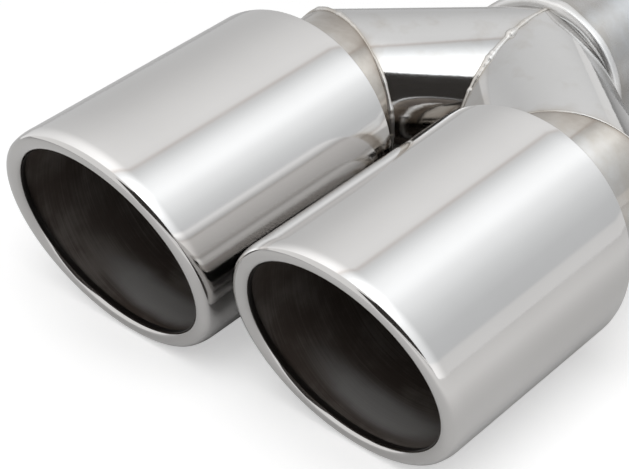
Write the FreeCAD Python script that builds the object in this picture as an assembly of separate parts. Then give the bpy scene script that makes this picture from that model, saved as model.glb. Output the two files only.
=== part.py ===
import FreeCAD, Part
import math
import os

# Twin-tip exhaust tailpipe: two slant-cut polished tips on a welded Y of plain pipe.
# The origin is the centre of the inlet's open end; the tips point to -Y and +Z is up.

os.makedirs("parts", exist_ok=True)

# Pipe stock
pipe_diameter = 63.5
pipe_wall = 1.5

# Polished tips
tip_diameter = 90.0
tip_wall = 1.5
tip_gap = 6.0
tip_length = 99.0
mouth_slant = 21.0
mouth_turn = 10.0
lip_radius = 3.25
lip_turn = 215.0
lip_leg = 4.0
tip_edge_round = 0.8

# Ring that closes the back of each tip
cap_thickness = 1.5
cap_flange = 8.0
cap_bend = 3.0

# Welded Y
branch_angle = 45.0
stub_length = 30.5
stub_reach = 10.0
inlet_length = 36.0
inlet_setback = 1.0

# Weld beads, given as bead radius
cap_bead = 2.0
mitre_bead = 1.3
centre_bead = 1.6
inlet_bead = 3.2
inlet_bead_sink = 1.2

# Sizes that follow from those above
Vector = FreeCAD.Vector
ORIGIN = Vector(0, 0, 0)
ACROSS = Vector(1, 0, 0)
BACK = Vector(0, 1, 0)
UP = Vector(0, 0, 1)

pipe_radius = pipe_diameter / 2
pipe_bore = pipe_radius - pipe_wall
tip_radius = tip_diameter / 2
tip_bore = tip_radius - tip_wall
tip_offset = (tip_diameter + tip_gap) / 2
half_turn = math.radians(branch_angle / 2)
full_turn = math.radians(branch_angle)
mitre_step = pipe_radius * math.tan(half_turn)

inlet_seam_y = -inlet_length
meeting_y = inlet_seam_y - inlet_setback - mitre_step
mitre_y = meeting_y - tip_offset / math.tan(full_turn)
tip_back_y = mitre_y - stub_length
mouth_y = tip_back_y - tip_length
mouth_slope = math.tan(math.radians(mouth_slant))
slope_across = mouth_slope * math.sin(math.radians(mouth_turn))
slope_up = mouth_slope * math.cos(math.radians(mouth_turn))
reach = 4 * (tip_length + tip_diameter)

mitre_point = Vector(-tip_offset, mitre_y, 0)
meeting_point = Vector(0, meeting_y, 0)
inlet_seam_point = Vector(0, inlet_seam_y, 0)
mouth_point = Vector(-tip_offset, mouth_y, 0)
branch_way = Vector(math.sin(full_turn), math.cos(full_turn), 0)
mitre_way = Vector(math.sin(half_turn), math.cos(half_turn), 0)
mitre_across = Vector(math.cos(half_turn), -math.sin(half_turn), 0)


def half_space(point, way):
    """Everything on one side of a plane, as a box large enough for this object."""
    box = Part.makeBox(reach, reach, reach, Vector(-reach / 2, -reach / 2, 0))
    box.Placement = FreeCAD.Placement(point, FreeCAD.Rotation(UP, way))
    return box


def rod(radius, start, way, length):
    return Part.makeCylinder(radius, length, start, way)


def closed_face(edges):
    return Part.Face(Part.Wire(edges))


def line(a, b):
    return Part.LineSegment(a, b).toShape()


def arc(a, b, c):
    return Part.Arc(a, b, c).toShape()


def mirrored(shape):
    return shape.mirror(ORIGIN, ACROSS)


def bead_along(edge, radius):
    """A round bead whose centre line is the given edge."""
    start = edge.FirstParameter
    section = Part.Circle(edge.valueAt(start), edge.tangentAt(start), radius).toShape()
    return Part.Wire([edge]).makePipeShell([Part.Wire([section])], True, True)


def one_solid(shape):
    solids = shape.Solids
    assert len(solids) == 1, "expected one solid, got %d" % len(solids)
    return solids[0]


def lip_point(turn, radius):
    """Point of the rolled lip's section, turned from straight out towards the mouth."""
    angle = math.radians(turn)
    middle = tip_radius - lip_radius
    return Vector(middle + radius * math.cos(angle), -radius * math.sin(angle), 0)


def make_tip_sleeve(place):
    """One sheet: a tube with a slanted mouth whose edge is rolled inward. Both tips are the same part."""
    outer, inner = lip_radius, lip_radius - tip_wall
    leg_out = Vector(tip_radius, lip_leg, 0)
    leg_in = Vector(tip_bore, lip_leg, 0)
    section = closed_face([
        line(leg_out, lip_point(0, outer)),
        arc(lip_point(0, outer), lip_point(lip_turn / 2, outer), lip_point(lip_turn, outer)),
        line(lip_point(lip_turn, outer), lip_point(lip_turn, inner)),
        arc(lip_point(lip_turn, inner), lip_point(lip_turn / 2, inner), lip_point(0, inner)),
        line(lip_point(0, inner), leg_in),
        line(leg_in, leg_out),
    ])
    lip = section.revolve(ORIGIN, BACK, 360)
    slant = FreeCAD.Matrix()
    slant.A21 = -slope_across
    slant.A23 = -slope_up
    lip = lip.transformGeometry(slant)

    front = Vector(0, -tip_length, 0)
    wall = rod(tip_radius, front, BACK, 2 * tip_length)
    back_edge = [edge for edge in wall.Edges if edge.BoundBox.YMin > lip_leg]
    wall = wall.makeFillet(tip_edge_round, back_edge)
    wall = wall.cut(rod(tip_bore, front, BACK, 2 * tip_length))
    wall = wall.cut(half_space(Vector(0, lip_leg, 0), Vector(-slope_across, -1, -slope_up)))
    sleeve = wall.fuse(lip)
    sleeve.translate(place)
    return one_solid(sleeve)


def make_end_cap():
    """Pressed ring with a turned-in flange that sits flush in the back of the sleeve."""
    rim = tip_bore
    inner_rim = rim - cap_thickness
    back = tip_length
    inside = back - cap_thickness
    outer_bend = cap_bend
    inner_bend = cap_bend - cap_thickness
    bend_x = rim - cap_bend
    bend_y = back - cap_bend
    diagonal = math.sqrt(0.5)
    outer_mid = Vector(bend_x + outer_bend * diagonal, bend_y + outer_bend * diagonal, 0)
    inner_mid = Vector(bend_x + inner_bend * diagonal, bend_y + inner_bend * diagonal, 0)
    section = closed_face([
        line(Vector(pipe_radius, back, 0), Vector(bend_x, back, 0)),
        arc(Vector(bend_x, back, 0), outer_mid, Vector(rim, bend_y, 0)),
        line(Vector(rim, bend_y, 0), Vector(rim, back - cap_flange, 0)),
        line(Vector(rim, back - cap_flange, 0), Vector(inner_rim, back - cap_flange, 0)),
        line(Vector(inner_rim, back - cap_flange, 0), Vector(inner_rim, bend_y, 0)),
        arc(Vector(inner_rim, bend_y, 0), inner_mid, Vector(bend_x, inside, 0)),
        line(Vector(bend_x, inside, 0), Vector(pipe_radius, inside, 0)),
        line(Vector(pipe_radius, inside, 0), Vector(pipe_radius, back, 0)),
    ])
    cap = section.revolve(ORIGIN, BACK, 360)
    cap.translate(mouth_point)
    return one_solid(cap)


def stub_rod(radius):
    start = Vector(-tip_offset, tip_back_y - stub_reach, 0)
    return rod(radius, start, BACK, tip_length).cut(half_space(mitre_point, mitre_way))


def branch_rod(radius):
    start = mitre_point - branch_way * tip_diameter
    long_rod = rod(radius, start, branch_way, reach / 2)
    long_rod = long_rod.cut(half_space(mitre_point, -mitre_way))
    long_rod = long_rod.cut(half_space(meeting_point, ACROSS))
    return long_rod.cut(half_space(inlet_seam_point, BACK))


def inlet_rod(radius):
    return rod(radius, inlet_seam_point, BACK, inlet_length)


stub_outside = stub_rod(pipe_radius)
branch_outside = branch_rod(pipe_radius)
branches_outside = [branch_outside, mirrored(branch_outside)]
inlet_outside = inlet_rod(pipe_radius)

# Sheet and pipe
left_sleeve = make_tip_sleeve(mouth_point)
right_sleeve = make_tip_sleeve(Vector(tip_offset, mouth_y, 0))
left_cap = make_end_cap()
left_stub = one_solid(stub_outside.cut(stub_rod(pipe_bore)))
left_branch = one_solid(branch_outside.cut(branch_rod(pipe_bore)))
inlet = one_solid(inlet_outside.cut(inlet_rod(pipe_bore)))

# Bead in the corner between end cap and stub
cap_back = Vector(-tip_offset, tip_back_y, 0)
left_cap_weld = Part.makeTorus(pipe_radius, cap_bead, cap_back, BACK)
left_cap_weld = left_cap_weld.cut(half_space(cap_back, -BACK))
left_cap_weld = one_solid(left_cap_weld.cut(stub_outside))

# Bead round the mitre between stub and branch
mitre_major = mitre_point + mitre_across * (pipe_radius / math.cos(half_turn))
mitre_minor = mitre_point + UP * pipe_radius
mitre_seam = Part.Ellipse(mitre_major, mitre_minor, mitre_point).toShape()
left_mitre_weld = bead_along(mitre_seam, mitre_bead)
left_mitre_weld = one_solid(left_mitre_weld.cut([stub_outside, branch_outside]))

# Thick ring where both branches meet the inlet
inlet_ring = Part.makeTorus(pipe_radius - inlet_bead_sink, inlet_bead, inlet_seam_point, BACK)
inlet_weld = one_solid(inlet_ring.cut(branches_outside + [inlet_outside]))

# Bead along the seam between the two branches, from the ring round the front and back to the ring
seam_length = pipe_radius / math.sin(full_turn)
seam_major = meeting_point + BACK * seam_length
seam_minor = meeting_point + UP * pipe_radius
seam_start = math.acos((inlet_seam_y - meeting_y) / seam_length)
centre_seam = Part.Ellipse(seam_major, seam_minor, meeting_point)
centre_seam = centre_seam.toShape(seam_start, 2 * math.pi - seam_start)
centre_weld = bead_along(centre_seam, centre_bead)
centre_weld = centre_weld.cut(branches_outside + [inlet_ring, half_space(inlet_seam_point, BACK)])
centre_weld = one_solid(centre_weld)

pieces = {
    "left_tip_sleeve": left_sleeve,
    "left_end_cap": left_cap,
    "left_stub_pipe": left_stub,
    "left_branch_pipe": left_branch,
    "left_cap_weld": left_cap_weld,
    "left_mitre_weld": left_mitre_weld,
    "inlet_pipe": inlet,
    "inlet_weld": inlet_weld,
    "centre_weld": centre_weld,
}
for name in list(pieces):
    if name.startswith("left_"):
        pieces[name.replace("left_", "right_")] = mirrored(pieces[name])
pieces["right_tip_sleeve"] = right_sleeve

for name, shape in pieces.items():
    shape.exportStep("parts/%s.step" % name)
    box = shape.BoundBox
    size = (box.XLength, box.YLength, box.ZLength)
    print(name, shape.isValid(), round(shape.Volume), "mm3", [round(v, 1) for v in size])
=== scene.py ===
# %% [markdown]
# # A twin-tip exhaust tailpipe
# Two mirror-polished tips sit side by side on a welded Y of plain pipe. The CAD model is the fixed frame
# that gives every size. This lesson builds the looks on it: smooth skins for the metal, rippled weld
# beads, finishes made from noise, and a small photo studio with a round light tent.

# %% Open the CAD frame
import math
import bmesh
import bpy
import numpy as np
from mathutils import Matrix, Vector


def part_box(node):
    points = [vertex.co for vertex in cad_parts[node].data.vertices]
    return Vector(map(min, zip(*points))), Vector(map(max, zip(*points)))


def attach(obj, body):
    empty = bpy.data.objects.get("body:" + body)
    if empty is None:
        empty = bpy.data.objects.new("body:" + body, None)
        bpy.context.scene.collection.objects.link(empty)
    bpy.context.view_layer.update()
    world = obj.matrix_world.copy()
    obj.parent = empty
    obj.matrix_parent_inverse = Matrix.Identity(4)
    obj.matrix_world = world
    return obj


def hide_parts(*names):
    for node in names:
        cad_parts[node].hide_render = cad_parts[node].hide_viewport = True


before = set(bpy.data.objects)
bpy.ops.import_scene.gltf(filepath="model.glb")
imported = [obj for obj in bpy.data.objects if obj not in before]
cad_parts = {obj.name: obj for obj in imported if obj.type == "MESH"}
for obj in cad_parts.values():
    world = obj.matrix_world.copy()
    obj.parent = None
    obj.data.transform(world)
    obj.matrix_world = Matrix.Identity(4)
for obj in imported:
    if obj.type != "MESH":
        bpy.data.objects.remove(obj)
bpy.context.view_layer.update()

# %% [markdown]
# ## Sizes
# The tips and pipes are round, so most sizes can be read off the boxes of the CAD nodes: half a sleeve's
# height is its radius, and the plane where the inlet starts is the front of its box. Reading them keeps
# the skins on the CAD model when that changes. Only what a box can't show, such as the sheet's thickness,
# is written as a number.

# %% Read the sizes from the frame
SHEET = 0.0015
LIP_ROLL = 0.00325
LIP_TURN = math.radians(215)
EDGE_ROUND = 0.0008
MOUTH_SLOPE = math.tan(math.radians(21))
MOUTH_TURN = math.radians(10)
BRANCH_ANGLE = math.radians(45)

sleeve_low, sleeve_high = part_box("right_tip_sleeve")
inlet_low, inlet_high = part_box("inlet_pipe")
stub_low, stub_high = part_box("right_stub_pipe")
cap_low, cap_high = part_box("right_end_cap")

tip_radius = (sleeve_high.z - sleeve_low.z) / 2
tip_offset = (sleeve_high.x + sleeve_low.x) / 2
tip_back_y = sleeve_high.y
pipe_radius = (inlet_high.z - inlet_low.z) / 2
pipe_bore = pipe_radius - SHEET
inlet_seam_y = inlet_low.y
stub_front_y = stub_low.y
cap_flange = cap_high.y - cap_low.y
lip_front = LIP_ROLL * math.sqrt(1 + MOUTH_SLOPE ** 2)
mouth_y = sleeve_low.y + MOUTH_SLOPE * (tip_radius - LIP_ROLL) + lip_front
half_turn = BRANCH_ANGLE / 2
mitre_y = stub_high.y - pipe_radius * math.tan(half_turn)
meeting_y = mitre_y + tip_offset / math.tan(BRANCH_ANGLE)
tip_length = tip_back_y - mouth_y
print("tip radius %.4f, pipe radius %.4f, mouth y %.4f, mitre y %.4f, branches meet at y %.4f"
      % (tip_radius, pipe_radius, mouth_y, mitre_y, meeting_y))

# %% [markdown]
# ## Skins made of rows
# Every piece here is a section carried round or along something: a sleeve is a section carried round the
# tip's axis, a bead is a ring carried along a seam. All of them can be written as a table of rings, with
# each ring's points in order. One helper turns such a table into a mesh, so the pieces below only have to
# say where their points are. A CAD mesh would also do, but a mirror shows every facet, and a dense skin
# with even quads mirrors cleanly.

# %% Turn rings of points into a mesh
SIDES = (("left", -1), ("right", 1))
SHEET_CREASE = math.radians(38)


def skin(name, rings, closed=True, crease=SHEET_CREASE):
    """A mesh from an array of rings (ring, point, xyz). Closed joins the last ring to the first."""
    count, around = rings.shape[:2]
    ring = np.arange(count if closed else count - 1)[:, None] * around
    next_ring = (ring + around) % (count * around)
    point = np.arange(around)[None, :]
    next_point = (point + 1) % around
    quads = np.stack([ring + point, ring + next_point, next_ring + next_point, next_ring + point], -1)
    mesh = bpy.data.meshes.new(name)
    mesh.from_pydata(rings.reshape(-1, 3).tolist(), [], quads.reshape(-1, 4).tolist())
    shape = bmesh.new()
    shape.from_mesh(mesh)
    if not closed:
        bmesh.ops.holes_fill(shape, edges=[edge for edge in shape.edges if edge.is_boundary])
    bmesh.ops.recalc_face_normals(shape, faces=shape.faces)
    shape.to_mesh(mesh)
    shape.free()
    mesh.polygons.foreach_set("use_smooth", [True] * len(mesh.polygons))
    mesh.set_sharp_from_angle(angle=crease)
    piece = bpy.data.objects.new(name, mesh)
    bpy.context.collection.objects.link(piece)
    return piece


def stand_in(piece, node):
    """The piece rides the one body and hides the CAD node it stands for."""
    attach(piece, "root")
    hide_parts(node)
    print(piece.name, len(piece.data.polygons), "faces for", node)


def set_number(piece, name, values):
    """Store one number at each point, for a material to read."""
    piece.data.attributes.new(name, "FLOAT", "POINT").data.foreach_set("value", values)


print("sides:", [side for side, sign in SIDES])

# %% [markdown]
# ## Short names for shader nodes
# A finish is a small network of nodes: noise makes masks, maths shapes them, and mixes turn them into
# colours. Adding one node takes several lines, so each kind used often has its own function. A function
# takes plain values or other nodes' outputs and hands back its own output, so a finish reads like a sum.

# %% Write the node helpers
NOISE_ROUGHNESS = 0.55


def feed(tree, value, socket):
    """Give an input another node's output, a colour or a plain number."""
    if isinstance(value, bpy.types.NodeSocket):
        tree.links.new(value, socket)
    elif isinstance(value, tuple):
        socket.default_value = (*value, 1)
    else:
        socket.default_value = value


def math_node(tree, operation, *values):
    node = tree.nodes.new("ShaderNodeMath")
    node.operation = operation
    for value, socket in zip(values, node.inputs):
        feed(tree, value, socket)
    return node.outputs[0]


def noise_node(tree, place, scale, detail):
    node = tree.nodes.new("ShaderNodeTexNoise")
    feed(tree, place, node.inputs["Vector"])
    feed(tree, scale, node.inputs["Scale"])
    feed(tree, detail, node.inputs["Detail"])
    feed(tree, NOISE_ROUGHNESS, node.inputs["Roughness"])
    return node.outputs["Fac"]


def range_node(tree, value, start, end, low=0.0, high=1.0):
    """Ease from low to high while the value goes from start to end."""
    node = tree.nodes.new("ShaderNodeMapRange")
    node.interpolation_type = "SMOOTHSTEP"
    for number, socket in zip((value, start, end, low, high), node.inputs):
        feed(tree, number, socket)
    return node.outputs[0]


print("node helpers: math, noise and range")

# %% [markdown]
# ## Fine wear shared by all the metal
# Steel that has been polished or handled carries hair-fine scratches, faint cloudy patches and a pit here
# and there. Every metal here needs some of them, so they are one node group with three masks. The
# scratches run round the tip, which is how a polishing wheel leaves them, so that noise is squeezed along
# the pipe's axis. The pits are the centres of a few cells of a Voronoi pattern, picked by each cell's own
# chance colour.

# %% Node group for streaks, cloudy patches and pits
VECTOR, NUMBER, COLOUR = "NodeSocketVector", "NodeSocketFloat", "NodeSocketColor"
STREAK_SQUEEZE, STREAK_SCALE, STREAK_DETAIL = (9.0, 900.0, 9.0), 2.0, 2.0
CLOUD_SCALE, CLOUD_DETAIL = 42.0, 5.0
PIT_CELLS, PIT_EDGE, PIT_CHANCE = 70.0, (0.03, 0.07), 0.88


def new_group(name, takes, gives):
    """A node group, with the outputs of its first node and the inputs of its last one."""
    group = bpy.data.node_groups.new(name, "ShaderNodeTree")
    for way, sockets in (("INPUT", takes), ("OUTPUT", gives)):
        for label, kind in sockets.items():
            group.interface.new_socket(name=label, in_out=way, socket_type=kind)
    print("group", name, "takes", list(takes), "and gives", list(gives))
    return group, group.nodes.new("NodeGroupInput").outputs, group.nodes.new("NodeGroupOutput").inputs


fine_wear, given, masks = new_group("fine_wear", {"Place": VECTOR},
                                    {"Streaks": NUMBER, "Clouds": NUMBER, "Pits": NUMBER})
squeeze = fine_wear.nodes.new("ShaderNodeMapping")
squeeze.inputs["Scale"].default_value = STREAK_SQUEEZE
feed(fine_wear, given["Place"], squeeze.inputs["Vector"])
streaks = noise_node(fine_wear, squeeze.outputs["Vector"], STREAK_SCALE, STREAK_DETAIL)
clouds = noise_node(fine_wear, given["Place"], CLOUD_SCALE, CLOUD_DETAIL)
cells = fine_wear.nodes.new("ShaderNodeTexVoronoi")
feed(fine_wear, PIT_CELLS, cells.inputs["Scale"])
feed(fine_wear, given["Place"], cells.inputs["Vector"])
chance = fine_wear.nodes.new("ShaderNodeSeparateColor")
feed(fine_wear, cells.outputs["Color"], chance.inputs["Color"])
near_middle = range_node(fine_wear, cells.outputs["Distance"], *PIT_EDGE, 1.0, 0.0)
picked = math_node(fine_wear, "GREATER_THAN", chance.outputs["Red"], PIT_CHANCE)
pits = math_node(fine_wear, "MULTIPLY", near_middle, picked)
for name, mask in (("Streaks", streaks), ("Clouds", clouds), ("Pits", pits)):
    feed(fine_wear, mask, masks[name])

# %% [markdown]
# ## Heat colours
# Welding leaves straw and brown oxide beside a seam. It is darkest in the first millimetre or two, fades
# out over a few centimetres and has an uneven edge. Each pipe, cap and bead carries a number called
# seam_heat, high at its seams, and this group turns it into a tint and a dull mask, so they all share one
# look. The number isn't called heat, because the renderer keeps that name for itself.

# %% Node group for the heat tint
SCORCH_SCALE, SCORCH_DETAIL, SCORCH_UNEVEN = 95.0, 3.0, 0.5
BARE, STRAW, BROWN, BURNT = (1.0, 1.0, 1.0), (0.82, 0.775, 0.715), (0.50, 0.435, 0.375), (0.16, 0.12, 0.10)
HEAT_COLOURS = ((0.08, BARE), (0.35, STRAW), (0.65, BROWN), (1.0, BURNT))
HEAT_DULLS = (0.1, 0.9)


def ramp_node(tree, value, stops):
    """A colour that follows the value through stops of (position, colour)."""
    node = tree.nodes.new("ShaderNodeValToRGB")
    marks = node.color_ramp.elements
    while len(marks) < len(stops):
        marks.new(0.5)
    for mark, (position, colour) in zip(marks, stops):
        mark.position = position
        mark.color = (*colour, 1)
    feed(tree, value, node.inputs["Fac"])
    return node.outputs["Color"]


heat_tint, given, masks = new_group("heat_tint", {"Place": VECTOR, "Heat": NUMBER},
                                    {"Tint": COLOUR, "Dull": NUMBER})
uneven = noise_node(heat_tint, given["Place"], SCORCH_SCALE, SCORCH_DETAIL)
shifted = math_node(heat_tint, "MULTIPLY_ADD", uneven, SCORCH_UNEVEN, -SCORCH_UNEVEN / 2)
scorched = math_node(heat_tint, "ADD", given["Heat"], shifted)
feed(heat_tint, ramp_node(heat_tint, scorched, HEAT_COLOURS), masks["Tint"])
feed(heat_tint, range_node(heat_tint, scorched, *HEAT_DULLS), masks["Dull"])

# %% [markdown]
# ## Polished steel
# The tips are buffed to a mirror. Stainless steel sends back about six tenths of the light, a little warm,
# so that is the base colour, with full metallic and a low roughness. Clouds and streaks dull it a little
# here and there, which softens the edges of what the mirror shows. They change the roughness and not the
# shape: where two tips mirror each other, even the smallest bump would break the picture into grains.

# %% Make the polished finish
MIX_FACTOR, MIX_FIRST, MIX_SECOND, MIX_RESULT = 0, 6, 7, 2
PIT_BROWN, PIT_DULL = (0.10, 0.075, 0.06), 0.4
POLISH_DARK, POLISH_LIGHT = (0.60, 0.587, 0.575), (0.63, 0.618, 0.606)
POLISH_CLOUDS, POLISH_ROUGHNESS, POLISH_STREAKS = (0.3, 0.75), (0.075, 0.105), 0.02


def mix_node(tree, factor, first, second, blend="MIX"):
    node = tree.nodes.new("ShaderNodeMix")
    node.data_type = "RGBA"
    node.blend_type = blend
    for value, index in ((factor, MIX_FACTOR), (first, MIX_FIRST), (second, MIX_SECOND)):
        feed(tree, value, node.inputs[index])
    return node.outputs[MIX_RESULT]


def new_finish(name):
    """A material, its node tree and the inputs of its surface."""
    finish = bpy.data.materials.new(name)
    finish.use_nodes = True
    return finish, finish.node_tree, finish.node_tree.nodes["Principled BSDF"].inputs


def place_on(tree):
    return tree.nodes.new("ShaderNodeTexCoord").outputs["Object"]


def group_node(tree, group, **inputs):
    node = tree.nodes.new("ShaderNodeGroup")
    node.node_tree = group
    for name, value in inputs.items():
        feed(tree, value, node.inputs[name])
    return node.outputs


def pitted_steel(tree, wear, dark, light):
    """Cloudy steel with brown pits."""
    return mix_node(tree, wear["Pits"], mix_node(tree, wear["Clouds"], dark, light), PIT_BROWN)


polished, tree, surface = new_finish("polished_steel")
wear = group_node(tree, fine_wear, Place=place_on(tree))
dull = range_node(tree, wear["Clouds"], *POLISH_CLOUDS, *POLISH_ROUGHNESS)
dull = math_node(tree, "MULTIPLY_ADD", wear["Streaks"], POLISH_STREAKS, dull)
dull = math_node(tree, "MULTIPLY_ADD", wear["Pits"], PIT_DULL, dull)
feed(tree, pitted_steel(tree, wear, POLISH_DARK, POLISH_LIGHT), surface["Base Color"])
feed(tree, dull, surface["Roughness"])
feed(tree, 1.0, surface["Metallic"])
print("finish", polished.name)

# %% [markdown]
# ## Dark inside of the tips
# Inside, the sheet was never polished and has gone dark brown-grey, with soft lighter patches where the
# coat is thin and fine lines round the wall. Low down, a little behind the lip, a cleaner grey is painted on
# as a pool of light from the mouth, and right under the rolled lip black is painted on as the lip's shadow.
# The skin carries a number for this: one is plain soot, under one is thinner soot in the bores and the
# painted pool of light in the sleeves, and over one is the painted shadow. The cloud mask makes the lit
# patch's edge uneven.

# %% Make the dark inside finish
SOOT_THICK, SOOT_THIN = (0.105, 0.084, 0.072), (0.22, 0.197, 0.180)
# Grey: thinner soot in the bores, and a painted pool of light low in the sleeves. Black: a painted shadow
# under the rolled lip.
THIN_SOOT_AND_LIT_GREY, PAINTED_SHADOW_BLACK = (0.39, 0.382, 0.375), (0.012, 0.010, 0.009)
LINE_SHARE, THIN_EDGE = 0.35, (0.55, 0.86)
CLEAN_AND_LIT_UNEVEN, CLEAN_AND_LIT_EDGE, PAINTED_SHADOW_EDGE = 0.8, (0.1, 0.75), (1.15, 1.6)
INSIDE_STREAKS, INSIDE_ROUGHNESS, INSIDE_METALLIC = (0.3, 0.7), (0.36, 0.5), 0.3
INSIDE_BUMP, INSIDE_DEPTH = 0.2, 0.0004


def point_number(tree, name):
    """The number of that name that the skin carries at each point."""
    node = tree.nodes.new("ShaderNodeAttribute")
    node.attribute_name = name
    return node.outputs["Fac"]


def bump(tree, surface, height, strength, distance):
    node = tree.nodes.new("ShaderNodeBump")
    feed(tree, strength, node.inputs["Strength"])
    feed(tree, distance, node.inputs["Distance"])
    feed(tree, height, node.inputs["Height"])
    feed(tree, node.outputs["Normal"], surface["Normal"])


sooty_with_painted_shading, tree, surface = new_finish("dark_inside")
wear = group_node(tree, fine_wear, Place=place_on(tree))
# This number holds the soot and, in the sleeves, the painted pool of light and the painted shadow.
soot_and_painted_shading = point_number(tree, "soot_and_painted_shading")
lines = math_node(tree, "MULTIPLY_ADD", wear["Streaks"], LINE_SHARE, wear["Clouds"])
coat = mix_node(tree, range_node(tree, lines, *THIN_EDGE), SOOT_THICK, SOOT_THIN)
uneven = math_node(tree, "MULTIPLY_ADD", wear["Clouds"], CLEAN_AND_LIT_UNEVEN, -CLEAN_AND_LIT_UNEVEN / 2)
# Under one the wall turns grey: thinner soot in the bores, and a painted pool of light in the sleeves.
clean_and_lit = range_node(tree, math_node(tree, "ADD", soot_and_painted_shading, uneven), *CLEAN_AND_LIT_EDGE, 1.0, 0.0)
coat = mix_node(tree, clean_and_lit, coat, THIN_SOOT_AND_LIT_GREY)
# Painted shadow: over one, the wall right under the rolled lip is turned black.
coat = mix_node(tree, range_node(tree, soot_and_painted_shading, *PAINTED_SHADOW_EDGE), coat, PAINTED_SHADOW_BLACK)
feed(tree, coat, surface["Base Color"])
feed(tree, range_node(tree, wear["Streaks"], *INSIDE_STREAKS, *INSIDE_ROUGHNESS), surface["Roughness"])
feed(tree, INSIDE_METALLIC, surface["Metallic"])
bump(tree, surface, wear["Streaks"], INSIDE_BUMP, INSIDE_DEPTH)
print("finish", sooty_with_painted_shading.name)

# %% [markdown]
# ## Buffed pipe steel and weld metal
# The Y is plain tube that was buffed after welding: it mirrors almost as well as the tips, and keeps some
# heat colour near the seams. The tint multiplies the steel's own colour and its dull mask raises the
# roughness. The inlet was left with a satin surface, and weld metal is paler and less smooth. It is all
# the same steel, so one function makes the three finishes.

# %% Make the pipe and weld finishes
WAVE_STRENGTH = 0.1


def tinted_steel(name, dark, light, smooth, rough, wave):
    finish, tree, surface = new_finish(name)
    place = place_on(tree)
    wear = group_node(tree, fine_wear, Place=place)
    heat = group_node(tree, heat_tint, Place=place, Heat=point_number(tree, "seam_heat"))
    steel = pitted_steel(tree, wear, dark, light)
    feed(tree, mix_node(tree, 1.0, steel, heat["Tint"], "MULTIPLY"), surface["Base Color"])
    feed(tree, range_node(tree, heat["Dull"], 0.0, 1.0, smooth, rough), surface["Roughness"])
    feed(tree, 1.0, surface["Metallic"])
    bump(tree, surface, wear["Clouds"], WAVE_STRENGTH, wave)
    print("finish", name)
    return finish


buffed = tinted_steel("buffed_steel", dark=(0.545, 0.538, 0.53), light=(0.595, 0.59, 0.582),
                      smooth=0.075, rough=0.22, wave=0.0008)
satin = tinted_steel("satin_steel", dark=(0.41, 0.413, 0.416), light=(0.47, 0.472, 0.474),
                     smooth=0.27, rough=0.42, wave=0.0008)
weld_metal = tinted_steel("weld_metal", dark=(0.60, 0.595, 0.585), light=(0.68, 0.67, 0.66),
                          smooth=0.32, rough=0.45, wave=0.0002)

# %% [markdown]
# ## Section of a tip sleeve
# A sleeve is one sheet rolled into a tube. Its mouth is cut at a slant, top lip forward, and the edge is
# rolled inward into a round lip. A lathe can't cut a slant, but the section can be turned on a lathe first
# and then sheared: each point slides along the axis by its height times the slope. The wall's other end
# stays flat, so the slide fades out along the wall. The wall begins to curve a little before the lip,
# which bends the reflections there.

# %% Draw the section and the lathe
AROUND = 288
EDGE_POINTS, WALL_POINTS, LEAD_POINTS, LIP_POINTS, INNER_POINTS = 7, 25, 13, 41, 21
LEAD_RADIUS, LEAD_TURN, LEAD_DROP = 0.022, math.radians(14), 0.0001


def arc(middle, back, size, angles, share):
    """Section points on an arc. Angle 0 faces outward and a quarter turn faces the mouth."""
    return [(middle + size * math.cos(a), back - size * math.sin(a), share) for a in angles]


def sleeve_section():
    """Points of (radius, distance behind the mouth, share of the slant), outside, lip, then inside."""
    roll = LIP_ROLL - LEAD_DROP
    roll_radius = tip_radius - LEAD_RADIUS * (1 - math.cos(LEAD_TURN)) - roll * math.cos(LEAD_TURN)
    lead_start = (LEAD_RADIUS - roll) * math.sin(LEAD_TURN) - LEAD_DROP
    wall_back = tip_length - EDGE_ROUND
    shares = np.linspace(0, 1, WALL_POINTS)
    wall = [(wall_back + (lead_start - wall_back) * share, share) for share in shares]
    edge_angles = np.linspace(-math.pi / 2, 0, EDGE_POINTS)[:-1]
    lead_angles = np.linspace(0, LEAD_TURN, LEAD_POINTS)[1:-1]
    section = arc(tip_radius - EDGE_ROUND, wall_back, EDGE_ROUND, edge_angles, 0.0)
    section += [(tip_radius, back, share) for back, share in wall]
    section += arc(tip_radius - LEAD_RADIUS, lead_start, LEAD_RADIUS, lead_angles, 1.0)
    section += arc(roll_radius, -LEAD_DROP, roll, np.linspace(LEAD_TURN, LIP_TURN, LIP_POINTS), 1.0)
    inner_angles = np.linspace(LIP_TURN, LEAD_TURN, INNER_POINTS)
    section += arc(roll_radius, -LEAD_DROP, roll - SHEET, inner_angles, 1.0)
    section += [(tip_radius - SHEET, back, share) for back, share in wall[:0:-1]]
    section.append((tip_radius - SHEET, tip_length, 0.0))
    return np.array(section)


def full_turn(points):
    """Angles of points spread evenly round a circle."""
    return np.linspace(0, 2 * math.pi, points, endpoint=False)


def lathe(section, middle_x, front_y):
    turn = full_turn(AROUND)
    radius, back, share = (section[:, i, None] for i in range(3))
    x = middle_x + radius * np.cos(turn)
    z = radius * np.sin(turn)
    slide = math.sin(MOUTH_TURN) * (x - middle_x) + math.cos(MOUTH_TURN) * z
    y = front_y + back - share * MOUTH_SLOPE * slide
    return np.stack([x, y, z], -1)


section = sleeve_section()
print("sleeve section of", len(section), "points")

# %% [markdown]
# ## Tip sleeves
# The same section makes both tips, because both are the same part. The polish goes over the lip and ends
# where it curls out of sight, and from there on the wall has the dark finish. The soot number is worked out
# from how deep and how low a point lies: a painted pool of light is a soft lighter spot at the bottom, and a
# painted black shadow stays close to the lip.

# %% Build the sleeves
POLISHED_LIP = 31
# Where the painted pool of light lies on the sleeves' bottom wall.
LIT_PATCH_DEPTH, LIT_PATCH_REACH, LIT_PATCH_TURN, LIT_PATCH_POWER = 0.020, 0.012, math.radians(-95), 3
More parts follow.
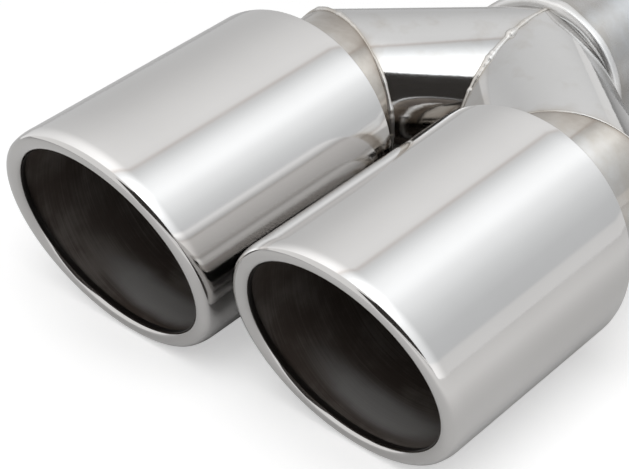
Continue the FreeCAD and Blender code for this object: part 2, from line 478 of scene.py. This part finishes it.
# How far behind the lip the painted shadow reaches.
PAINTED_SHADOW_REACH = 0.005
POLISHED_RINGS = (EDGE_POINTS - 1) + WALL_POINTS + (LEAD_POINTS - 2) + POLISHED_LIP


def two_finishes(piece, outside, first, last):
    """The outside finish, with the dark one on the rows of faces from first up to last."""
    piece.data.materials.append(outside)
    piece.data.materials.append(sooty_with_painted_shading)
    row = np.arange(len(piece.data.polygons)) // AROUND
    inside = (row >= first) & (row < last)
    piece.data.polygons.foreach_set("material_index", inside.astype(np.int32))


depth = section[:, 1, None]
lowness = np.clip(np.cos(full_turn(AROUND) - LIT_PATCH_TURN), 0, 1) ** LIT_PATCH_POWER
# Painted pool of light: a lighter spot low down, a little behind the lip.
painted_lit_patch = lowness * np.exp(-((depth - LIT_PATCH_DEPTH) / LIT_PATCH_REACH) ** 2)
# Painted shadow: black right under the rolled lip.
painted_lip_shadow = np.exp(-(depth / PAINTED_SHADOW_REACH) ** 2)
for side, sign in SIDES:
    sleeve = skin(side + "_polished_sleeve", lathe(section, sign * tip_offset, mouth_y))
    two_finishes(sleeve, polished, POLISHED_RINGS - 1, len(section) - 1)
    # The soot number: one is plain soot; the painted pool of light lowers it and the painted shadow raises
    # it.
    set_number(sleeve, "soot_and_painted_shading", (1 - painted_lit_patch + painted_lip_shadow).ravel())
    stand_in(sleeve, side + "_tip_sleeve")

# %% [markdown]
# ## Pipes cut by planes
# Stubs, branches and inlet are round tube cut off by planes: square at the ends, slanted at the mitres,
# and cut along the middle where the two branches meet. Each straight line along the tube simply starts at
# one plane and stops at the first plane it reaches, which gives every cut exactly. The rings crowd
# together near the cuts, because the heat colour changes fastest there. Heat is worked out at each point
# from its distance to the nearest seam: a narrow scorched line plus a wide faint stain, which is strongest
# on the stubs between two welds. The bores have the dull finish of the tips' insides, with thinner soot.

# %% Write the tube cutter
TUBE_RINGS = 44
LINE_HEAT, LINE_REACH, STAIN_REACH = 0.4, 0.0008, 0.030
BORE_SOOT = 0.6


def unit(*v):
    return np.array(v, float) / np.linalg.norm(v)


ACROSS, BACK, UP = unit(1, 0, 0), unit(0, 1, 0), unit(0, 0, 1)


def square_cut(y):
    """The plane square to the pipe at y, as a point and a direction."""
    return BACK * y, BACK


def travel(points, way, planes, pick):
    """How far each point goes along way to the farthest or nearest of the planes."""
    return pick.reduce([((spot - points) @ normal) / (way @ normal) for spot, normal in planes])


def scorch(distance, stain):
    return LINE_HEAT * np.exp(-distance / LINE_REACH) + stain * np.exp(-distance / STAIN_REACH)


def cut_tube(name, middle, way, starts, ends, seams, stain, steel):
    """A tube round the line through middle along way, between its start planes and its end planes."""
    across = unit(*np.cross(way, UP))
    turn = full_turn(AROUND)[:, None]
    share = (1 - np.cos(np.linspace(0, math.pi, TUBE_RINGS)))[:, None] / 2
    walls = []
    for radius in (pipe_radius, pipe_bore):
        foot = middle + radius * (across * np.cos(turn) + UP * np.sin(turn))
        begin = travel(foot, way, starts, np.maximum)
        finish = travel(foot, way, ends, np.minimum)
        walls.append(foot[None] + (begin + (finish - begin) * share)[..., None] * way)
    rings = np.concatenate([walls[0], walls[1][::-1]])
    points = rings.reshape(-1, 3)
    distance = np.min([np.abs((points - spot) @ normal) for spot, normal in seams], axis=0)
    piece = skin(name, rings)
    two_finishes(piece, steel, TUBE_RINGS, 2 * TUBE_RINGS - 1)
    set_number(piece, "seam_heat", scorch(distance, stain))
    set_number(piece, "soot_and_painted_shading", np.full(len(points), BORE_SOOT))
    return piece


print("tubes of", 2 * TUBE_RINGS, "rings with", AROUND, "points each")

# %% [markdown]
# ## Stubs, branches and inlet
# With the cutter at hand, each pipe is only a list of planes: where it starts, where it ends, and where
# it is welded. A mitre leans by half the branch's angle, so that both pipes have the same oval there.

# %% Build the pipes
STUB_STAIN, BRANCH_STAIN, INLET_STAIN = {"left": 0.48, "right": 0.46}, 0.10, 0.3

meeting = BACK * meeting_y
inlet_cut = square_cut(inlet_seam_y)
for side, sign in SIDES:
    branch_way = unit(-sign * math.sin(BRANCH_ANGLE), math.cos(BRANCH_ANGLE), 0)
    mitre_way = unit(-sign * math.sin(half_turn), math.cos(half_turn), 0)
    corner = np.array((sign * tip_offset, mitre_y, 0))
    mitre = (corner, mitre_way)
    middle_cut = (meeting, -sign * ACROSS)
    stub = cut_tube(side + "_stub", corner, BACK, starts=[square_cut(stub_front_y)], ends=[mitre],
                    seams=[mitre, square_cut(tip_back_y)], stain=STUB_STAIN[side], steel=buffed)
    stand_in(stub, side + "_stub_pipe")
    branch = cut_tube(side + "_branch", corner, branch_way, starts=[mitre], ends=[middle_cut, inlet_cut],
                      seams=[mitre, middle_cut, inlet_cut], stain=BRANCH_STAIN, steel=buffed)
    stand_in(branch, side + "_branch_pipe")
inlet = cut_tube("inlet_tube", BACK * inlet_seam_y, BACK, starts=[inlet_cut], ends=[square_cut(inlet_high.y)],
                 seams=[inlet_cut], stain=INLET_STAIN, steel=satin)
stand_in(inlet, "inlet_pipe")

# %% [markdown]
# ## End caps
# Behind each sleeve a pressed ring closes the gap to the stub. Its rim is turned in and sits flush in the
# sleeve's end. A pressed ring is round all the way, so it is turned from its section like the sleeve, with
# no slant. Its inner edge is welded to the stub, so all of it is tinted, most of all next to the pipe.

# %% Build the end caps
CAP_BEND = 0.003
BEND_POINTS, INNER_BEND_POINTS = 13, 9
CAP_HEAT, CAP_SEAM_HEAT, CAP_HEAT_REACH = 0.75, 0.2, 0.004


def cap_section():
    rim = tip_radius - SHEET
    bend = rim - CAP_BEND
    bend_back = tip_length - CAP_BEND
    flange_end = tip_length - cap_flange
    outer_angles = np.linspace(-math.pi / 2, 0, BEND_POINTS)[1:]
    inner_angles = np.linspace(0, -math.pi / 2, INNER_BEND_POINTS)
    section = [(pipe_radius, tip_length, 0), (bend, tip_length, 0)]
    section += arc(bend, bend_back, CAP_BEND, outer_angles, 0)
    section += [(rim, flange_end, 0), (rim - SHEET, flange_end, 0)]
    section += arc(bend, bend_back, CAP_BEND - SHEET, inner_angles, 0)
    section.append((pipe_radius, tip_length - SHEET, 0))
    return np.array(section)


section = cap_section()
from_pipe = np.repeat(section[:, 0] - pipe_radius, AROUND)
for side, sign in SIDES:
    cap = skin(side + "_cap", lathe(section, sign * tip_offset, mouth_y))
    set_number(cap, "seam_heat", CAP_HEAT + CAP_SEAM_HEAT * np.exp(-from_pipe / CAP_HEAT_REACH))
    cap.data.materials.append(buffed)
    stand_in(cap, side + "_end_cap")

# %% [markdown]
# ## Shape of a weld bead
# A weld freezes in small overlapping scales as the torch moves on. A hand-made one swells and thins along
# its way and leaves a drop here and there. A smooth tube along the seam would look like wire, and straight
# rings like a stack of coins. Here a ring of points is carried along the seam. Its size follows curved
# scales, a few slow waves and some drops. The waves and drops come from a seeded chance, so each bead is
# lumpy but comes out the same when the script runs again.

# %% Write the bead maker
BEAD_ROUND = 24
BEAD_CREASE = math.radians(70)
SWELL_WAVES, SWELL_LIMITS = (2, 3, 5, 9, 14), (0.35, 1.6)
DROP_HEIGHT, DROP_SPREAD = (0.05, 0.3), (0.6, 1.4)
SCALE_LENGTH, SCALE_CURVE = 0.0021, 0.7
SCALE_SHIFTS = ((0.5, 3, 0.0), (0.4, 7, 0.3))
THIN_HEAT, THIN_UNDER = 0.25, 1.3


def follow(path, outward, closed):
    """At each point the ways off the metal and across the seam, the share of the way, and the length."""
    step = np.roll(path, -1, 0) - np.roll(path, 1, 0)
    if not closed:
        step[0], step[-1] = path[1] - path[0], path[-1] - path[-2]
    along = step / np.linalg.norm(step, axis=1, keepdims=True)
    lift = outward - along * np.sum(outward * along, 1, keepdims=True)
    lift /= np.linalg.norm(lift, axis=1, keepdims=True)
    legs = np.linalg.norm(np.roll(path, -1, 0) - path, axis=1)
    length = legs.sum() if closed else legs[:-1].sum()
    where = np.concatenate([[0], np.cumsum(legs[:-1])]) / length
    return lift, np.cross(along, lift), where, length


def swelling(where, length, seed, swing, drops, drop_length):
    """The bead's thickness along its way, as a share of its size."""
    chance = np.random.default_rng(seed)
    swell = np.ones(len(where))
    for wave in SWELL_WAVES:
        swell += swing / math.sqrt(wave) * np.sin(2 * math.pi * (wave * where + chance.random()))
    swell = swell.clip(*SWELL_LIMITS)
    for _ in range(drops):
        away = ((where - chance.random() + 0.5) % 1 - 0.5) * length
        height = chance.uniform(*DROP_HEIGHT)
        swell += height * np.exp(-(away / (drop_length * chance.uniform(*DROP_SPREAD))) ** 2)
    return swell


def bead(name, path, outward, size, seed, swing, drops, drop_length, scale_depth, heat, closed=True):
    """A lumpy bead along a path of points; outward says which way is away from the metal at each point."""
    lift, sideways, where, length = follow(path, outward, closed)
    swell = swelling(where, length, seed, swing, drops, drop_length)
    turn = full_turn(BEAD_ROUND)
    beat = round(length / SCALE_LENGTH) * where
    for share, wave, start in SCALE_SHIFTS:
        beat = beat + share * np.sin(2 * math.pi * (wave * where + start))
    phase = beat[:, None] + SCALE_CURVE * (1 - np.cos(turn))
    scales = 1 - scale_depth * (2 * (phase % 1) - 1) ** 2
    reach = (size * swell)[:, None] * scales
    spokes = lift[:, None] * np.cos(turn)[:, None] + sideways[:, None] * np.sin(turn)[:, None]
    piece = skin(name, path[:, None] + reach[..., None] * spokes, closed, BEAD_CREASE)
    seam_heat = heat + THIN_HEAT * (THIN_UNDER - swell).clip(0, 1)
    set_number(piece, "seam_heat", np.repeat(seam_heat, BEAD_ROUND))
    piece.data.materials.append(weld_metal)
    return piece


print("beads of", BEAD_ROUND, "points round, scales of", SCALE_LENGTH * 1000, "mm")

# %% [markdown]
# ## Weld beads
# Each side has a thin bead round the mitre and one in the corner between cap and stub. The right mitre was
# ground down further than the left. The ring where the Y meets the inlet is the thickest weld and was
# smoothed, so it has slow swellings but no scales.

# %% Build the round weld beads
SEAM_POINTS = 840
MITRE_SIZE, MITRE_SINK = {"left": 0.0010, "right": 0.00045}, 0.0003
CAP_BEAD_SIZE = 0.0017
RING_SIZE, RING_SINK = 0.0029, 0.0012

turn = full_turn(SEAM_POINTS)[:, None]
ring = ACROSS * np.cos(turn) + UP * np.sin(turn)
for side, sign in SIDES:
    corner = np.array((sign * tip_offset, mitre_y, 0))
    mitre_across = unit(math.cos(half_turn), sign * math.sin(half_turn), 0)
    out = mitre_across * np.cos(turn) / math.cos(half_turn) + UP * np.sin(turn)
    weld = bead(side + "_mitre_bead", corner + (pipe_radius - MITRE_SINK) * out, out, MITRE_SIZE[side],
                seed=3 + sign, swing=0.3, drops=30, drop_length=0.0012, scale_depth=0.03, heat=0.2)
    stand_in(weld, side + "_mitre_weld")
    cap_corner = np.array((sign * tip_offset, tip_back_y, 0))
    weld = bead(side + "_cap_bead", cap_corner + pipe_radius * ring, ring + BACK, CAP_BEAD_SIZE,
                seed=7 + sign, swing=0.1, drops=20, drop_length=0.002, scale_depth=0.05, heat=0.1)
    stand_in(weld, side + "_cap_weld")
weld = bead("inlet_bead", BACK * inlet_seam_y + (pipe_radius - RING_SINK) * ring, ring, RING_SIZE,
            seed=12, swing=0.06, drops=8, drop_length=0.006, scale_depth=0.0, heat=0.0)
stand_in(weld, "inlet_weld")

# %% [markdown]
# ## Bead between the branches
# The seam between the two branches is part of an ellipse, because a plane cuts a round tube there at an
# angle. Its bead starts at the inlet ring, runs round the crotch and comes back to the ring below. It is
# thickest at the crotch and thins out towards the ring.

# %% Build the bead between the branches
CROTCH_SIZE, THINNING, CENTRE_SINK = 0.0012, 0.0005, 0.0003

seam_half = pipe_radius / math.sin(BRANCH_ANGLE)
seam_start = math.acos((inlet_seam_y - meeting_y) / seam_half)
sweep = np.linspace(seam_start, 2 * math.pi - seam_start, SEAM_POINTS)[:, None]
out = BACK * np.cos(sweep) + UP * np.sin(sweep)
seam = meeting + BACK * seam_half * np.cos(sweep) + UP * pipe_radius * np.sin(sweep)
from_crotch = np.linspace(-1, 1, SEAM_POINTS)
weld = bead("centre_bead", seam - CENTRE_SINK * out, out, CROTCH_SIZE - THINNING * from_crotch ** 2,
            seed=21, swing=0.2, drops=40, drop_length=0.0014, scale_depth=0.025, heat=0.2, closed=False)
stand_in(weld, "centre_weld")

# %% [markdown]
# ## Floor
# The studio table is plain white. Light alone leaves a white table a little grey, so the floor also glows
# a little by itself for the camera. Mirrors see part of that glow on the right, where the brightest cloth
# shines on the table. Close to the part they see none of it, so polished metal shows the soft shadow that
# lies round its foot.

# %% Lay the floor
FLOOR_REACH = 4.0
FLOOR_WHITE, FLOOR_ROUGHNESS, FLOOR_SHINE = (0.7, 0.7, 0.7), 0.9, 0.1
FLOOR_GLOW = 0.45
RIGHT_EDGE, RIGHT_SHARE = (0.11, 0.22), 0.55


def stage_object(name, corners, faces, finish):
    mesh = bpy.data.meshes.new(name)
    mesh.from_pydata(corners, [], faces)
    mesh.materials.append(finish)
    made = bpy.data.objects.new(name, mesh)
    bpy.context.collection.objects.link(made)
    return made


def place_parts(tree):
    """The object's own x, y and z at each point."""
    split = tree.nodes.new("ShaderNodeSeparateXYZ")
    feed(tree, place_on(tree), split.inputs[0])
    return split.outputs


floor_white, tree, surface = new_finish("floor_white")
feed(tree, FLOOR_WHITE, surface["Base Color"])
feed(tree, FLOOR_ROUGHNESS, surface["Roughness"])
feed(tree, FLOOR_SHINE, surface["Specular IOR Level"])
ray = tree.nodes.new("ShaderNodeLightPath").outputs
right_glow = range_node(tree, place_parts(tree)["X"], *RIGHT_EDGE, 0.0, RIGHT_SHARE)
mirrored = math_node(tree, "MAXIMUM", ray["Is Glossy Ray"], ray["Is Transmission Ray"])
mirrored = math_node(tree, "MULTIPLY", mirrored, right_glow)
seen = math_node(tree, "MAXIMUM", ray["Is Camera Ray"], mirrored)
feed(tree, (1, 1, 1), surface["Emission Color"])
feed(tree, math_node(tree, "MULTIPLY", seen, FLOOR_GLOW), surface["Emission Strength"])
floor_z = -tip_radius
square = ((-1, -1), (1, -1), (1, 1), (-1, 1))
floor_corners = [(x * FLOOR_REACH, y * FLOOR_REACH, floor_z) for x, y in square]
stage_object("floor", floor_corners, [(0, 1, 2, 3)], floor_white)
print("floor at z %.4f" % floor_z)

# %% [markdown]
# ## Light tent
# Mirrors only look right when there is something to mirror. Product photographs of polished tips are taken
# in a tent of white cloth: an arch over the table, brightest where a lamp stands behind the cloth, with a
# thin darker seam. The tent here is half a tube along the pipe, glowing by its angle from the right-hand
# floor, up and over to the left. Its lower right edge is as bright as the table, and the cloth is brightest
# at the front. The camera looks through it. The tent is there for mirrors only; a lamp lights the table.

# %% Raise the tent
TENT_RADIUS = 0.42
TENT_MIDDLE = Vector((0.05, 0.0, floor_z))
TENT_FRONT, TENT_BACK, TENT_COLUMNS = -0.19, 1.30, 97
TENT_GLOW, FRONT_BOOST, FRONT_FADE = 1.7, 1.55, (-0.12, 0.05)
COOL, PLAIN, ROSY = (0.968, 0.995, 1.02), (0.995, 1.0, 1.008), (1.03, 0.985, 0.965)
TENT_LEVELS = (
    (0, 0.94, PLAIN), (13, 0.90, PLAIN), (14.5, 0.76, COOL), (30, 0.80, COOL), (40, 0.92, COOL),
    (47, 1.02, COOL), (55, 1.20, COOL), (62, 1.34, COOL), (68, 1.54, COOL), (72, 1.62, COOL),
    (77, 1.57, COOL), (84, 1.42, COOL), (90, 1.18, COOL), (95, 0.97, COOL), (97.8, 0.88, PLAIN),
    (99, 0.72, ROSY), (100.2, 0.88, ROSY), (101.5, 1.08, PLAIN), (108, 1.10, PLAIN), (115, 1.06, PLAIN),
    (125, 0.99, PLAIN), (135, 0.90, PLAIN), (142, 0.83, PLAIN), (153, 0.75, PLAIN), (164, 0.70, PLAIN),
    (180, 0.66, PLAIN))


def grid_faces(rows, columns):
    """Quads between points that are listed row by row."""
    corners = (0, 1, columns + 1, columns)
    return [tuple(columns * row + column + corner for corner in corners)
            for row in range(rows - 1) for column in range(columns - 1)]


def mirrors_only(thing):
    thing.visible_camera = False
    thing.visible_diffuse = False
    thing.visible_shadow = False


cloth = bpy.data.materials.new("tent_cloth")
cloth.use_nodes = True
tree = cloth.node_tree
tree.nodes.clear()
glow = tree.nodes.new("ShaderNodeEmission")
end = tree.nodes.new("ShaderNodeOutputMaterial")
place = place_parts(tree)
angle = math_node(tree, "DIVIDE", math_node(tree, "ARCTAN2", place["Z"], place["X"]), math.pi)
stops = [(degrees / 180, [level / TENT_GLOW * part for part in tone]) for degrees, level, tone in TENT_LEVELS]
feed(tree, ramp_node(tree, angle, stops), glow.inputs["Color"])
strength = range_node(tree, place["Y"], *FRONT_FADE, FRONT_BOOST * TENT_GLOW, TENT_GLOW)
feed(tree, strength, glow.inputs["Strength"])
feed(tree, glow.outputs["Emission"], end.inputs["Surface"])
tent_corners = [(TENT_RADIUS * math.cos(turn), y, TENT_RADIUS * math.sin(turn))
                for y in (TENT_FRONT, TENT_BACK) for turn in np.linspace(0, math.pi, TENT_COLUMNS)]
tent = stage_object("light_tent", tent_corners, grid_faces(2, TENT_COLUMNS), cloth)
tent.location = TENT_MIDDLE
mirrors_only(tent)
print("tent radius %.2f from y %.2f to %.2f" % (TENT_RADIUS, TENT_FRONT, TENT_BACK))

# %% [markdown]
# ## Dark end of the room
# The tent is open at the front, and the room behind the camera is dark. In the photograph it shows in the
# metal that faces the camera: a streak on each lip and a wide band on the left branch. One large curved
# dark card far behind the camera gives both. Only mirrors see it, so it takes no light from the table.

# %% Hang the dark card
CARD_DISTANCE = 2.6
CARD_ROWS, CARD_COLUMNS = 9, 13
CARD_RISE, CARD_AIM = np.radians((8, 64)), np.radians((18, 92))
CARD_COLOUR = (0.13, 0.12, 0.112)


def card_point(rise, aim):
    """A point on a ball round the origin; aim turns from straight ahead to the right."""
    level = math.cos(rise)
    return Vector((level * math.sin(aim), -level * math.cos(aim), math.sin(rise))) * CARD_DISTANCE


card_dark, tree, surface = new_finish("dark_room")
feed(tree, CARD_COLOUR, surface["Base Color"])
feed(tree, 1.0, surface["Roughness"])
feed(tree, 0.0, surface["Specular IOR Level"])
card_corners = [card_point(rise, aim) for rise in np.linspace(*CARD_RISE, CARD_ROWS)
                for aim in np.linspace(*CARD_AIM, CARD_COLUMNS)]
card = stage_object("dark_room", card_corners, grid_faces(CARD_ROWS, CARD_COLUMNS), card_dark)
mirrors_only(card)
print("dark card", CARD_DISTANCE, "m away")

# %% [markdown]
# ## Lamp and world
# One large soft lamp high at the front right lights the table and the mouths, so the soft shadow falls to
# the left. Mirrors don't show the lamp itself: the tent is what they see. Beyond the tent the studio is
# white, so the picture's background is white. The world is seen at full strength by the camera, mirrors
# and glass, and gives only a gentle fill to everything else.

# %% Set the lamp and the world
LAMP_SIZE, LAMP_WATTS, LAMP_PLACE = 1.1, 14, Vector((0.3, -0.8, 1.15))
WORLD_FILL = 0.35

lamp = bpy.data.objects.new("soft_lamp", bpy.data.lights.new("soft_lamp", "AREA"))
bpy.context.collection.objects.link(lamp)
lamp.data.shape = "DISK"
lamp.data.size = LAMP_SIZE
lamp.data.energy = LAMP_WATTS
lamp.location = LAMP_PLACE
lamp.rotation_euler = (Vector((0, mouth_y / 2, 0)) - LAMP_PLACE).to_track_quat("-Z", "Y").to_euler()
lamp.visible_glossy = False
lamp.visible_camera = False
world = bpy.data.worlds.new("white_studio")
bpy.context.scene.world = world
world.use_nodes = True
tree = world.node_tree
backdrop = tree.nodes["Background"].inputs
ray = tree.nodes.new("ShaderNodeLightPath").outputs
seen = math_node(tree, "MAXIMUM", ray["Is Camera Ray"], ray["Is Glossy Ray"])
seen = math_node(tree, "MAXIMUM", seen, ray["Is Transmission Ray"])
feed(tree, (1, 1, 1), backdrop["Color"])
feed(tree, math_node(tree, "MULTIPLY_ADD", seen, 1.0 - WORLD_FILL, WORLD_FILL), backdrop["Strength"])
print("lamp", LAMP_WATTS, "W, world fill", WORLD_FILL)

# %% [markdown]
# ## Camera
# The photograph was taken from the front right and above, with a long lens close enough for the near tip
# to look larger. The camera is placed by three turns and a distance, measured from the middle of the left
# mouth.

# %% Place the camera
PHOTO_WIDTH = 629
LENS_IN_PIXELS = 2482.8
SENSOR_WIDTH = 36
NEAREST_SEEN = 0.01
PITCH, YAW, ROLL = 0.5819, 0.5972, -0.0773
EYE_TO_MOUTH = Vector((-1.5011, 0.0535, 18.1753)) * tip_radius


def camera_axes():
    right = Vector((math.cos(YAW), math.sin(YAW), 0))
    level = math.cos(PITCH)
    ahead = Vector((-math.sin(YAW) * level, math.cos(YAW) * level, -math.sin(PITCH)))
    down = ahead.cross(right)
    c, s = math.cos(ROLL), math.sin(ROLL)
    return c * right + s * down, -s * right + c * down, ahead


right, down, ahead = camera_axes()
mouth = Vector((-tip_offset, mouth_y, 0))
eye = mouth - (right * EYE_TO_MOUTH.x + down * EYE_TO_MOUTH.y + ahead * EYE_TO_MOUTH.z)
camera = bpy.data.objects.new("photo_camera", bpy.data.cameras.new("photo_camera"))
bpy.context.collection.objects.link(camera)
camera.matrix_world = Matrix.Translation(eye) @ Matrix((right, -down, -ahead)).transposed().to_4x4()
camera.data.sensor_width = SENSOR_WIDTH
camera.data.lens = LENS_IN_PIXELS / PHOTO_WIDTH * SENSOR_WIDTH
camera.data.clip_start = NEAREST_SEEN
bpy.context.scene.camera = camera
bpy.context.scene.view_settings.view_transform = "Standard"
print("camera at", [round(v, 3) for v in eye], "lens %.1f mm" % camera.data.lens)
